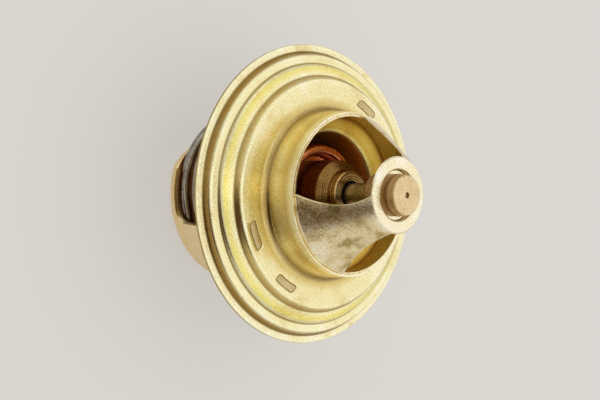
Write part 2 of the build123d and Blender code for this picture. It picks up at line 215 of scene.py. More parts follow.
sandy = [(0.34, (0.84, 0.78, 0.66)), (0.50, (1.0, 1.0, 1.0)), (0.66, (1.04, 1.06, 1.16))]
paleGoldLook = {
    "stainScale": 130.0,
    "colours": [
        (0.32, (0.78, 0.64, 0.30)), (0.43, (0.89, 0.79, 0.43)), (0.56, (0.90, 0.82, 0.47)),
        (0.70, (0.96, 0.88, 0.62)),
    ],
    "specks": sandy,
    "grainScale": 2600.0,
    "roughness": (0.10, 0.18),
    "waveScale": 260.0,
    "waveDepth": 0.25,
    "grainDepth": 0.04,
    "widest": 35.0,
    # Bands by radius: the bluish-white ones are painted highlights on the collar's rim, the bends and the crests;
    # the dark brown ones are painted shade at the collar's foot, on the risers and in the grooves; the yellow ones
    # deepen the slope's yellow.
    "rings": [
        (17.94, (1.04, 1.04, 1.25)), (18.0, (1.0, 1.0, 0.96)), (18.08, (1.03, 0.97, 0.74)),
        (18.22, (0.74, 0.55, 0.25)), (18.32, (0.95, 0.82, 0.52)), (18.42, (1.0, 0.93, 0.70)),
        (18.50, (1.08, 1.14, 1.35)), (18.58, (1.0, 0.94, 0.80)), (18.68, (0.60, 0.45, 0.24)),
        (18.85, (0.42, 0.30, 0.14)), (19.3, (0.64, 0.52, 0.32)), (20.2, (0.80, 0.70, 0.47)),
        (21.6, (0.98, 0.96, 0.90)), (24.6, (1.0, 1.0, 1.0)), (25.4, (1.05, 1.08, 1.15)),
        (25.7, (0.88, 0.76, 0.50)), (26.3, (0.52, 0.39, 0.20)), (26.65, (1.04, 1.06, 1.05)),
        (27.5, (1.02, 0.98, 0.66)), (28.2, (0.96, 0.90, 0.44)), (28.75, (1.05, 1.08, 1.1)),
        (29.1, (0.44, 0.32, 0.16)), (29.4, (1.0, 1.0, 0.98)), (30.9, (1.05, 1.08, 1.15)),
        (31.3, (0.52, 0.37, 0.18)), (31.8, (0.28, 0.18, 0.07)), (32.15, (1.0, 1.0, 1.02)),
        (33.0, (1.04, 1.07, 1.2)), (33.38, (1.04, 1.07, 1.2)), (33.46, (0.50, 0.42, 0.26)),
    ],
}
cageLook = {
    "stainScale": 90.0,
    "colours": [(0.30, (0.92, 0.65, 0.29)), (0.5, (0.97, 0.75, 0.39)), (0.72, (0.98, 0.79, 0.45))],
    "specks": sandy,
    "grainScale": 2400.0,
    "roughness": (0.24, 0.36),
    "waveScale": 260.0,
    "waveDepth": 0.25,
    "grainDepth": 0.06,
}
seatLook = {
    "stainScale": 110.0,
    # A deep yellow with almost no blue, standing in for light bounced between the gold walls of the throat: painted
    # reflection.
    "colours": [
        (0.32, (0.74, 0.44, 0.05)), (0.46, (0.93, 0.64, 0.09)), (0.58, (0.96, 0.69, 0.11)),
        (0.72, (1.0, 0.78, 0.18)),
    ],
    "specks": sandy,
    "grainScale": 2400.0,
    "roughness": (0.13, 0.22),
    "waveScale": 260.0,
    "waveDepth": 0.25,
    "grainDepth": 0.04,
    "widest": 35.0,
    # Bands by radius: the dark ones in the throat below the lip and in the crease at the ring wall's foot are
    # painted shade; the bluish band on the lip is a painted highlight.
    "rings": [
        (12.6, (0.30, 0.16, 0.08)), (13.7, (0.42, 0.24, 0.12)), (13.95, (1.0, 1.15, 2.6)),
        (14.3, (1.0, 1.12, 2.0)), (14.75, (0.86, 0.78, 0.60)), (15.6, (1.0, 1.0, 1.0)),
        (16.4, (0.92, 0.86, 0.7)), (16.95, (0.40, 0.27, 0.14)), (17.4, (0.48, 0.34, 0.18)),
        (18.2, (0.8, 0.7, 0.5)), (19.0, (1.0, 1.0, 1.0)),
    ],
    "metallic": 0.6,
}
ringLook = {
    "stainScale": 110.0,
    # A deep yellow with almost no blue, standing in for light bounced between the collar and the ring: painted
    # reflection.
    "colours": [(0.30, (0.84, 0.58, 0.07)), (0.5, (0.97, 0.72, 0.12)), (0.72, (0.99, 0.80, 0.20))],
    "specks": sandy,
    "grainScale": 2400.0,
    "roughness": (0.26, 0.36),
    "waveScale": 260.0,
    "waveDepth": 0.2,
    "grainDepth": 0.03,
    "metallic": 0.5,
}
bridgeLook = {
    "stainScale": 260.0,
    "colours": [
        (0.34, (0.48, 0.36, 0.14)), (0.46, (0.84, 0.68, 0.36)), (0.54, (0.93, 0.78, 0.46)),
        (0.68, (1.0, 0.88, 0.60)),
    ],
    "specks": [(0.34, (0.76, 0.70, 0.58)), (0.50, (1.0, 1.0, 1.0)), (0.68, (1.03, 1.05, 1.14))],
    "grainScale": 2000.0,
    "roughness": (0.16, 0.28),
    "waveScale": 300.0,
    "waveDepth": 0.35,
    "grainDepth": 0.04,
    "scratches": [
        (0.33, (0.74, 0.67, 0.55)), (0.40, (1.0, 1.0, 1.0)), (0.60, (1.0, 1.0, 1.0)), (0.68, (1.10, 1.15, 1.3)),
    ],
    "scratchTurn": (0.9, 0.3, 1.5),
    "scratchScale": 160.0,
    "scratchDepth": 0.02,
    "tallest": 30.0,
    # Tints by height: the bluish white at the arms' knee and on the hub's rounded top is painted highlight, the
    # slight darkening just below the hub is painted shade.
    "paintedLightByHeight": [
        (13.6, (1.04, 1.06, 1.1)), (16.0, (1.0, 1.0, 1.0)), (25.6, (0.92, 0.90, 0.86)), (26.3, (1.0, 1.0, 1.0)),
        (26.85, (1.15, 1.25, 1.5)),
    ],
}
elementLook = {
    "stainScale": 180.0,
    # Darker than bare brass: painted shade of the recess under the seat.
    "colours": [(0.30, (0.42, 0.25, 0.08)), (0.7, (0.66, 0.45, 0.18))],
    "specks": [(0.34, (0.8, 0.7, 0.6)), (0.5, (1.0, 1.0, 1.0))],
    "grainScale": 1800.0,
    "roughness": (0.20, 0.34),
    "waveScale": 300.0,
    "waveDepth": 0.15,
    "grainDepth": 0.03,
    "widest": 10.0,
    # Bands by radius: the bluish-white band is a painted highlight on the neck's lip; the darker bands at the neck's
    # hole and out towards the barrel are painted shade.
    "rings": [
        (2.9, (0.5, 0.42, 0.34)), (3.8, (0.9, 0.86, 0.8)), (4.7, (1.1, 1.15, 1.25)), (5.15, (1.0, 1.0, 1.0)),
        (5.4, (0.62, 0.52, 0.40)), (6.4, (0.62, 0.56, 0.44)), (7.3, (0.60, 0.46, 0.34)),
        (7.5, (0.42, 0.28, 0.18)),
    ],
    "turnPitch": 0.55,
    "turnDepth": 0.016,
}
pinLook = {
    "stainScale": 240.0,
    "colours": [(0.30, (0.66, 0.49, 0.25)), (0.7, (0.84, 0.67, 0.38))],
    "specks": [(0.33, (0.62, 0.52, 0.40)), (0.46, (1.0, 1.0, 1.0)), (0.7, (1.03, 1.06, 1.15))],
    "grainScale": 2600.0,
    "roughness": (0.34, 0.46),
    "waveScale": 300.0,
    "waveDepth": 0.15,
    "grainDepth": 0.06,
    "tallest": 30.0,
    # Everything below 28.9 mm, the head's side with it, is darker than the top face: painted shade round the head.
    "paintedLightByHeight": [(28.9, (0.72, 0.62, 0.50)), (29.15, (1.03, 1.03, 1.03))],
}
copperLook = {
    "stainScale": 180.0,
    "colours": [(0.30, (0.66, 0.19, 0.06)), (0.7, (0.95, 0.40, 0.19))],
    "specks": [(0.34, (0.7, 0.6, 0.5)), (0.5, (1.0, 1.0, 1.0))],
    "grainScale": 1800.0,
    "roughness": (0.22, 0.36),
    "waveScale": 200.0,
    "waveDepth": 0.2,
    "grainDepth": 0.04,
}
wireLook = {
    "stainScale": 200.0,
    "colours": [(0.30, (0.20, 0.17, 0.13)), (0.7, (0.52, 0.47, 0.40))],
    "specks": [(0.34, (0.6, 0.55, 0.5)), (0.5, (1.0, 1.0, 1.0))],
    "grainScale": 1800.0,
    "roughness": (0.10, 0.20),
    "waveScale": 250.0,
    "waveDepth": 0.15,
    "grainDepth": 0.04,
}
steelLook = {
    "stainScale": 160.0,
    "colours": [(0.30, (0.40, 0.38, 0.29)), (0.7, (0.54, 0.52, 0.43))],
    "specks": [(0.34, (0.8, 0.78, 0.74)), (0.5, (1.0, 1.0, 1.0))],
    "grainScale": 2400.0,
    "roughness": (0.22, 0.34),
    "waveScale": 250.0,
    "waveDepth": 0.05,
    "grainDepth": 0.03,
}

cupColours = [(0.30, (0.34, 0.11, 0.045)), (0.7, (0.62, 0.25, 0.12))]
tabColours = [(0.30, (0.46, 0.34, 0.14)), (0.7, (0.70, 0.56, 0.29))]

paleGold = sheetMetal("paleGold", paleGoldLook)
cageGold = sheetMetal("cageGold", cageLook)
seatGold = sheetMetal("seatGold", seatLook)
ringGold = sheetMetal("ringGold", ringLook)
scuffedGold = sheetMetal("scuffedGold", bridgeLook)
darkenedBrass = sheetMetal("darkenedBrass", elementLook)
pinBrass = sheetMetal("pinBrass", pinLook)
drawnCopper = sheetMetal("drawnCopper", copperLook)
cupCopper = sheetMetal("cupCopper", {**copperLook, "colours": cupColours})
tabBrass = sheetMetal("tabBrass", {**cageLook, "colours": tabColours})
darkWire = sheetMetal("darkWire", wireLook)
groundSteel = sheetMetal("groundSteel", steelLook)


def plainSolid(name, look):
    material, tree, shader = newMaterial(name)
    point = objectPoint(tree)
    grain = noiseField(tree, point, look["grainScale"], 3.0, 0.6)
    tree.links.new(colourRamp(tree, grain, look["colours"]), shader.inputs["Base Color"])
    shader.inputs["Roughness"].default_value = look["roughness"]
    addBump(tree, shader, [(grain, 0.3, 0.02)])
    return material


rubberLook = {
    "colours": [(0.3, (0.014, 0.014, 0.015)), (0.7, (0.03, 0.029, 0.03))],
    "grainScale": 900.0,
    "roughness": 0.55,
}
waxLook = {
    "colours": [(0.3, (0.30, 0.17, 0.10)), (0.7, (0.42, 0.26, 0.17))],
    "grainScale": 1500.0,
    "roughness": 0.6,
}
blackRubber = plainSolid("blackRubber", rubberLook)
copperedWax = plainSolid("copperedWax", waxLook)
print("materials made")


# Section lines of pressed and turned pieces, in mm as (radius, height)
def bentLine(corners, bends, turnStep=7.0):
    points = [Vector(corners[0])]
    for index in range(1, len(corners) - 1):
        before, corner, after = (Vector(corners[index + k]) for k in (-1, 0, 1))
        inward = (corner - before).normalized()
        outward = (after - corner).normalized()
        turn = math.atan2(inward.cross(outward), inward.dot(outward))
        radius = bends[index - 1]
        if radius < 1e-6:
            points.append(corner)
            continue
        start = corner - inward * radius * math.tan(abs(turn) / 2)
        side = Vector((-inward.y, inward.x)) * math.copysign(1, turn)
        centre = start + side * radius
        steps = max(2, math.ceil(math.degrees(abs(turn)) / turnStep))
        for step in range(steps + 1):
            points.append(centre + Matrix.Rotation(turn * step / steps, 2) @ (start - centre))
    points.append(Vector(corners[-1]))
    return holdStraights(points)


def holdStraights(points, hold=0.12, longest=1.6):
    # extra points near both ends of each straight keep its shading flat
    held = [points[0]]
    for here, there in zip(points, points[1:]):
        run = there - here
        if run.length > 4 * hold:
            along = run.normalized()
            first = here + along * hold
            last = there - along * hold
            parts = max(1, math.ceil((last - first).length / longest))
            held += [first + (last - first) * part / parts for part in range(parts + 1)]
        if run.length > 1e-5:
            held.append(there)
    return held


def rowAt(line, height):
    # the line with one more point where it passes a height
    for index, (here, there) in enumerate(zip(line, line[1:])):
        if (here.y - height) * (there.y - height) < 0:
            share = (height - here.y) / (there.y - here.y)
            return line[: index + 1] + [here.lerp(there, share)] + line[index + 1 :]
    return line


def skinOf(name, rows, wrap=0):
    # rows are dictionaries from column number to point; wrap joins the last column to the first
    mesh = bpy.data.meshes.new(name)
    points = []
    number = {}
    for rowIndex, row in enumerate(rows):
        for column, point in row.items():
            number[rowIndex, column] = len(points)
            points.append(tuple(coordinate * mm for coordinate in point))
    faces = []
    for rowIndex in range(len(rows) - 1):
        for column in rows[rowIndex]:
            beside = (column + 1) % wrap if wrap else column + 1
            corners = [(rowIndex, column), (rowIndex, beside), (rowIndex + 1, beside), (rowIndex + 1, column)]
            if all(corner in number for corner in corners):
                faces.append([number[corner] for corner in corners])
    mesh.from_pydata(points, [], faces)
    piece = bpy.data.objects.new(name, mesh)
    bpy.context.collection.objects.link(piece)
    return piece


def around(radius, angle, height):
    return (radius * math.cos(angle), radius * math.sin(angle), height)


sharpEdge = 32.0


def bakeShape(piece, sharpAngle=sharpEdge):
    graph = bpy.context.evaluated_depsgraph_get()
    mesh = bpy.data.meshes.new_from_object(piece.evaluated_get(graph))
    piece.modifiers.clear()
    piece.data = mesh
    mesh.name = piece.name
    mesh.shade_smooth()
    mesh.set_sharp_from_angle(angle=math.radians(sharpAngle))


def thicken(piece, gauge, edgeRound, lowest=-99.0, highest=99.0):
    # gauge goes to the back of the skin, ends are cut level, and cut edges get a small round
    shape = bmesh.new()
    shape.from_mesh(piece.data)
    bmesh.ops.remove_doubles(shape, verts=shape.verts, dist=1e-7)
    shape.to_mesh(piece.data)
    shape.free()
    solidify = piece.modifiers.new("gauge", "SOLIDIFY")
    solidify.thickness = gauge * mm
    solidify.offset = -1
    solidify.use_even_offset = True
    solidify.use_quality_normals = True
    bakeShape(piece)
    for vertex in piece.data.vertices:
        vertex.co.z = min(max(vertex.co.z, lowest * mm), highest * mm)
    bevel = piece.modifiers.new("cutEdge", "BEVEL")
    bevel.width = edgeRound * mm
    bevel.segments = 2
    bevel.limit_method = "ANGLE"
    bevel.angle_limit = math.radians(50)
    bakeShape(piece)


def lathe(name, line, segments=180):
    # a turned solid: the line runs from axis to axis, or closes on itself
    rows = [{step: around(p.x, 2 * math.pi * step / segments, p.y) for step in range(segments)} for p in line]
    piece = skinOf(name, rows, wrap=segments)
    shape = bmesh.new()
    shape.from_mesh(piece.data)
    bmesh.ops.remove_doubles(shape, verts=shape.verts, dist=1e-7)
    bmesh.ops.recalc_face_normals(shape, faces=shape.faces)
    shape.to_mesh(piece.data)
    shape.free()
    piece.data.shade_smooth()
    piece.data.set_sharp_from_angle(angle=math.radians(sharpEdge))
    return piece


def dress(piece, body, material, slot, *replaced):
    piece.data.materials.clear()
    piece.data.materials.append(material)
    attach(piece, body)
    if replaced:
        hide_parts(*replaced)


# Flange plate and seat ring: pressed sheets with four slots for the cage's tabs
slotPlan = {"inner": 22.08, "outer": 24.07, "near": 3.98, "far": 9.72, "corner": 0.62}


def slotSteps(first, last, corner):
    # places across a slot, close together at its rounded corners
    near = [first, first + 0.29 * corner, first + corner]
    far = [last - corner, last - 0.29 * corner, last]
    parts = max(1, round((far[0] - near[-1]) / 0.8))
    return near + [near[-1] + (far[0] - near[-1]) * part / parts for part in range(1, parts)] + far


def roundSlots(shape, plan):
    # the corners of each slot move onto an arc
    corner = plan["corner"]
    for vertex in shape.verts:
        x, y, z = vertex.co / mm
        reach = math.hypot(x, y)
        if abs(z - plan["top"]) > 0.01 or not plan["inner"] <= reach + 1e-4 or not reach - 1e-4 <= plan["outer"]:
            continue
        if not plan["near"] - 1e-4 <= abs(y) <= plan["far"] + 1e-4:
            continue
        middle = Vector(((plan["inner"] + plan["outer"]) / 2, (plan["near"] + plan["far"]) / 2))
        half = Vector(((plan["outer"] - plan["inner"]) / 2 - corner, (plan["far"] - plan["near"]) / 2 - corner))
        off = Vector((reach, abs(y))) - middle
        past = Vector((max(abs(off.x) - half.x, 0), max(abs(off.y) - half.y, 0)))
        if past.x > 1e-4 and past.y > 1e-4:
            past = past.normalized() * corner
            reach = middle.x + math.copysign(half.x + past.x, off.x)
            y = math.copysign(middle.y + math.copysign(half.y + past.y, off.y), y)
            vertex.co = Vector((math.copysign(math.sqrt(reach ** 2 - y ** 2), x), y, z)) * mm


def slottedSheet(name, line, gauge, plan, segments=60, edgeRound=0.06, lowest=-99.0):
    # columns bunch to the slots' ends, so the slots are cut out of the grid
    inner, outer = plan["inner"], plan["outer"]
    across = slotSteps(plan["near"], plan["far"], plan["corner"])
    rows = []
    for point in line:
        reach = min(max(point.x, inner), outer)
        slot = [math.asin(y / reach) for y in across]
        quarter = [slot[0] * step / 6 for step in range(6)] + slot
        quarter += [slot[-1] + (math.pi / 2 - slot[-1]) * step / (segments // 2) for step in range(1, segments // 2)]
        half = quarter + [math.pi / 2] + [math.pi - angle for angle in quarter[:0:-1]]
        angles = half + [angle + math.pi for angle in half]
        rows.append({column: around(point.x, angle, point.y) for column, angle in enumerate(angles)})
    total = len(rows[0])
    piece = skinOf(name, rows, wrap=total)
    shape = bmesh.new()
    shape.from_mesh(piece.data)
    gone = []
    for face in shape.faces:
        centre = face.calc_center_median() / mm
        onSlot = plan["near"] < abs(centre.y) < plan["far"] and inner < math.hypot(centre.x, centre.y) < outer
        if onSlot and plan["top"] - 0.01 < centre.z < plan["top"] + 0.01:
            gone.append(face)
    bmesh.ops.delete(shape, geom=gone, context="FACES")
    roundSlots(shape, plan)
    shape.to_mesh(piece.data)
    shape.free()
    thicken(piece, gauge, edgeRound, lowest)
    return piece


def rowsAtRadius(line, *radii):
    for radius in radii:
        for index, (here, there) in enumerate(zip(line, line[1:])):
            if (here.x - radius) * (there.x - radius) < 0:
                share = (radius - here.x) / (there.x - here.x)
                line = line[: index + 1] + [here.lerp(there, share)] + line[index + 1 :]
                break
    return line


flangeSizes = {
    "corners": [
        (33.5, 0.5), (31.75, 0.5), (31.05, 2.3), (29.15, 2.3), (28.75, 3.15), (26.3, 4.25), (25.5, 5.7),
        (18.776, 5.7), (17.95, 13.3),
    ],
    "bends": [0.8, 0.8, 0.4, 1.2, 0.6, 0.8, 1.8],
    "gauge": 0.5,
}
flangeLine = bentLine(flangeSizes["corners"], flangeSizes["bends"])
slotRadii = slotSteps(slotPlan["inner"], slotPlan["outer"], slotPlan["corner"])
flangeLine = rowsAtRadius(flangeLine, *slotRadii)
flangePlate = slottedSheet("flangePlate", flangeLine, flangeSizes["gauge"], {**slotPlan, "top": 5.7})
dress(flangePlate, "frame", paleGold, "plate", "flange_plate")
print("flange plate pressed")

seatSizes = {
    "corners": [(24.9, 5.2), (18.31, 5.2), (17.97, 8.3), (17.07, 8.3), (13.95, 6.2), (12.4, 1.0)],
    "bends": [1.2, 0.55, 0.55, 0.7],
    "gauge": 0.5,
}
seatLine = bentLine(seatSizes["corners"], seatSizes["bends"])
seatLine = rowsAtRadius(seatLine, *slotRadii)
seatRing = slottedSheet("seatRing", seatLine, seatSizes["gauge"], {**slotPlan, "top": 5.2}, lowest=1.0)
dress(seatRing, "frame", seatGold, "plate", "seat_ring")
print("seat ring pressed")

# Bridge: full ring, two arms cut out of one cone, full washer at the hub
bridgeSizes = {
    "corners": [(17.969, 8.3), (17.372, 13.8), (7.9, 26.95), (5.43, 26.95), (5.43, 25.5), (4.32, 25.5)],
    "bends": [1.1, 0.8, 0.5, 0.4],
    "gauge": 0.45,
    "archLow": (13.4, 13.3),
    "archTop": (6.4, 26.5),
    "archRadius": 26.0,
    "armSteps": 44,
    "windowSteps": 70,
    "bounceTintBelow": 12.8,
    "hubFace": 26.7,
    "recessLow": 25.0,
    "recessReach": 6.0,
}


def archHalfWidth(sizes, height):
    # half width of the window at a height: an arc through the two ends, bulging outwards
    low, top = Vector(sizes["archLow"]), Vector(sizes["archTop"])
    middle = (low + top) / 2
    half = (top - low).length / 2
    away = Vector((top.y - low.y, low.x - top.x)).normalized()
    centre = middle - away * math.sqrt(sizes["archRadius"] ** 2 - half ** 2)
    return centre.x + math.sqrt(sizes["archRadius"] ** 2 - (height - centre.y) ** 2)


def pressBridge(sizes):
    line = bentLine(sizes["corners"], sizes["bends"])
    line = rowAt(rowAt(line, sizes["archLow"][1]), sizes["archTop"][1])
    armSteps, windowSteps = sizes["armSteps"], sizes["windowSteps"]
    half = armSteps + windowSteps
    rows = []
    hubSide = False
    for point in line:
        height = min(max(point.y, sizes["archLow"][1]), sizes["archTop"][1])
        inWindow = sizes["archLow"][1] < point.y < sizes["archTop"][1] and not hubSide
        hubSide = hubSide or point.y >= sizes["archTop"][1]
        if point.y <= sizes["archLow"][1] and not hubSide:
            reach = baseReach(line, sizes)
        elif hubSide:
            reach = topReach(line, sizes)
        else:
            reach = math.acos(archHalfWidth(sizes, height) / point.x)
        row = {}
        for column in range(2 * half):
            side, place = divmod(column, half)
            if place <= armSteps:
                angle = reach * (2 * place / armSteps - 1)
            elif inWindow:
                continue
            else:
                angle = reach + (math.pi - 2 * reach) * (place - armSteps) / windowSteps
            row[column] = around(point.x, angle + side * math.pi, point.y)
        rows.append(row)
    return skinOf("archedBridge", rows, wrap=2 * half)


def reachAt(line, sizes, height):
    point = next(p for p in line if abs(p.y - height) < 1e-6)
    return math.acos(archHalfWidth(sizes, height) / point.x)


def baseReach(line, sizes):
    return reachAt(line, sizes, sizes["archLow"][1])


def topReach(line, sizes):
    return reachAt(line, sizes, sizes["archTop"][1])


bridge = pressBridge(bridgeSizes)
thicken(bridge, bridgeSizes["gauge"], 0.06, lowest=8.3)
dress(bridge, "frame", scuffedGold, "bridge", "bridge")
bridge.data.materials.append(ringGold)  # the ring inside the collar takes ringGold, a painted reflection of light bounced between the walls
bridge.data.materials.append(paleGold)  # the hub's flat face and its recess take paleGold, whose tint inside 17.94 mm is the bluish white of the painted rim highlight
for face in bridge.data.polygons:
    centre = face.center / mm
    inRecess = centre.z > bridgeSizes["recessLow"] and centre.xy.length < bridgeSizes["recessReach"]
    if centre.z < bridgeSizes["bounceTintBelow"]:
        face.material_index = 1
    elif centre.z > bridgeSizes["hubFace"] or inRecess:
        face.material_index = 2
print("bridge pressed")

# Hub pin and piston, turned
pinSizes = {
    "corners": [
        (0, 23.95), (2.52, 23.95), (2.52, 20.95), (4.7, 20.95), (4.7, 25.05), (4.3, 25.05), (4.3, 25.5),
        (4.5, 25.5), (4.5, 27.9), (4.3, 27.9), (4.3, 29.25), (0.62, 29.25), (0.62, 28.57), (0, 27.95),
    ],
    "bends": [0, 0.15, 0.35, 0.1, 0, 0, 0.1, 0.12, 0.05, 0.5, 0.1, 0.05],
}
hubPin = lathe("hubPin", bentLine(pinSizes["corners"], pinSizes["bends"]))
dress(hubPin, "frame", pinBrass, "pin", "hub_pin")

pistonSizes = {"corners": [(0, -16), (2.5, -16), (2.5, 23.95), (0, 23.95)], "bends": [0.6, 0.15]}
piston = lathe("pushPiston", bentLine(pistonSizes["corners"], pistonSizes["bends"]), 96)
dress(piston, "frame", groundSteel, "piston", "piston")
print("pin and piston turned")

# Valve disc with its rubber seal
discSizes = {
    "corners": [(15.2, 0), (11.9, 0), (10.75, 4.3), (9.0, 4.3), (8.75, 0.9), (6.62, 0.9)],
    "bends": [0.4, 0.8, 0.8, 0.6],
    "gauge": 0.6,
}
sealSizes = {"corners": [(12.25, 0), (14.7, 0), (14.7, 1.0), (12.25, 1.0)], "bends": [0.08, 0.45, 0.08]}


def roundSheet(name, sizes, segments=200, edgeRound=0.08):
    line = bentLine(sizes["corners"], sizes["bends"])
    rows = [{step: around(p.x, 2 * math.pi * step / segments, p.y) for step in range(segments)} for p in line]
    piece = skinOf(name, rows, wrap=segments)
    thicken(piece, sizes["gauge"], edgeRound)
    return piece


valveDisc = roundSheet("valveDisc", discSizes)
dress(valveDisc, "valve", drawnCopper, "disc", "valve_disc")
sealLine = bentLine(sealSizes["corners"], sealSizes["bends"])
valveSeal = lathe("valveSeal", sealLine + [sealLine[0]])
dress(valveSeal, "valve", blackRubber, "seal", "valve_seal")
print("valve made")

# Wax element: guide body with a ringed cone and a rolled neck
elementSizes = {
    "foot": [
        (2.55, -3.7), (6.6, -3.7), (6.6, -3.2), (6.25, -2.15), (6.25, -1.45), (6.6, -0.4), (6.6, 0.9),
        (7.5, 0.9),
    ],
    "barrelTop": (7.5, 9.4),
    "coneTop": (5.75, 11.3),
    "rings": 5,
    "ringCut": 0.14,
    "neck": [
        (4.85, 11.3), (4.85, 11.75), (5.2, 11.75), (5.2, 13.1), (2.95, 13.1), (2.95, 12.5), (3.62, 12.5),
        (3.62, 9.9), (2.55, 9.9),
    ],
    "neckBends": [0.05, 0.1, 0.12, 0.5, 0.3, 0.0, 0.0, 0.0, 0.0],
}


def elementLine(sizes):
    corners = list(sizes["foot"]) + [sizes["barrelTop"]]
    low, top = Vector(sizes["barrelTop"]), Vector(sizes["coneTop"])
    for ring in range(sizes["rings"]):
        share = (ring + 0.6) / sizes["rings"]
        inward = low.x + (top.x - low.x) * (ring + 1) / sizes["rings"]
        corners.append((inward - sizes["ringCut"], low.y + (top.y - low.y) * share))
        corners.append((inward, low.y + (top.y - low.y) * (ring + 1) / sizes["rings"]))
    bends = [0.03] * (len(corners) - 1) + sizes["neckBends"][:-1]
    corners += sizes["neck"]
    return bentLine(corners, bends + [0.0] * (len(corners) - 2 - len(bends)))


guideLine = elementLine(elementSizes)
guideBody = lathe("guideBody", guideLine + [guideLine[0]])
dress(guideBody, "valve", darkenedBrass, "element", "guide_body")

neckSealSizes = {"corners": [(2.8, 9.9), (3.6, 9.9), (3.6, 12.5), (2.8, 12.5)], "bends": [0.1, 0.1]}
neckSealLine = bentLine(neckSealSizes["corners"], neckSealSizes["bends"])
neckSeal = lathe("neckSeal", neckSealLine + [neckSealLine[0]], 96)
dress(neckSeal, "valve", blackRubber, "seal", "neck_seal")

cupSizes = {
    "corners": [(0, -27.4), (7.25, -27.4), (7.25, -2.5), (6.9, -1.8), (7.25, -1.1), (7.25, -0.3), (8.7, -0.3)],
    "bends": [1.4, 0.65, 0.3, 0.65, 0.4],
    "gauge": 0.6,
}
waxCup = roundSheet("waxCup", cupSizes)
dress(waxCup, "valve", cupCopper, "cup", "wax_cup")
print("wax element made")

# Lower cage: one strap bent up from a round dish, with flats at its sides
cageSizes = {
    "corners": [(7.35, -22.9), (7.35, -25.6), (20.8, -25.6), (20.8, -22.6), (23.54, 4.7)],
    "bends": [1.54, 2.6, 5.0],
    "gauge": 1.1,
    "dishHalfWidth": 17.0,
    "dishRim": -22.6,
    "legHalfWidth": 7.3,
    "legCorner": 2.8,
    "flareLow": -4.0,
    "flareTop": 0.35,
    "topHalfWidth": 10.4,
    "legInner": 20.0,
    "flatSteps": (0.0, 0.03, 0.12, 0.35, 0.7),
    "legSteps": 14,
    "sideSteps": 16,
}


def legWidthAt(sizes, height):
    above = height - sizes["dishRim"]
    corner = sizes["legCorner"]
    if above < corner:
        return sizes["legHalfWidth"] + corner - math.sqrt(corner ** 2 - (corner - above) ** 2)
    share = min(max((height - sizes["flareLow"]) / (sizes["flareTop"] - sizes["flareLow"]), 0), 1)
    return sizes["legHalfWidth"] + (sizes["topHalfWidth"] - sizes["legHalfWidth"]) * share


def bendCage(sizes):
    line = bentLine(sizes["corners"], sizes["bends"])
    flat = sizes["dishHalfWidth"]
    line = rowsAtRadius(line, *(flat + step for step in sizes["flatSteps"]))
    rim = sizes["dishRim"]
    cornerRows = [rim + sizes["legCorner"] * (1 - math.cos(math.radians(turn))) for turn in range(10, 91, 10)]
    for height in [rim] + cornerRows:
        line = rowAt(line, height)
    line = rowAt(rowAt(line, sizes["flareLow"]), sizes["flareTop"])
    legSteps, sideSteps = sizes["legSteps"], sizes["sideSteps"]
    steps = legSteps + sideSteps
    wallRadius = sizes["corners"][2][0]
    sideStart = 1000  # keeps the columns of the two sides apart
    rows = []
    for point in line:
        onLeg = point.x > flat and point.y > rim + 1e-6
        legReach = math.asin(legWidthAt(sizes, max(point.y, rim)) / max(point.x, sizes["legInner"]))
        if not onLeg:
            legReach = math.asin(legWidthAt(sizes, rim) / wallRadius)
        fullReach = math.pi / 2 if point.x <= flat else math.asin(flat / point.x)
        row = {}
        for side in range(2):
            for step in range(-steps, steps + 1):
                size = abs(step)
                if size > legSteps and onLeg:
                    continue
                if size <= legSteps:
                    angle = legReach * size / legSteps
                else:
                    angle = legReach + (fullReach - legReach) * (size - legSteps) / sideSteps
                angle = math.copysign(angle, step) + side * math.pi
                row[side * sideStart + steps + step] = around(point.x, angle, point.y)
        rows.append(row)
    return skinOf("lowerCage", rows)


lowerCage = bendCage(cageSizes)
thicken(lowerCage, cageSizes["gauge"], 0.14, highest=4.7)
dress(lowerCage, "frame", cageGold, "cage", "lower_cage")
print("cage bent")

# Staked tabs in the slots, one small solid each
tabSizes = {
    "inner": 22.20,
    "outer": 23.95,
    "near": 4.1,
    "far": 9.6,
    "corner": 0.5,
    "low": 4.7,
    "top": 5.78,
    "upset": 0.18,
}


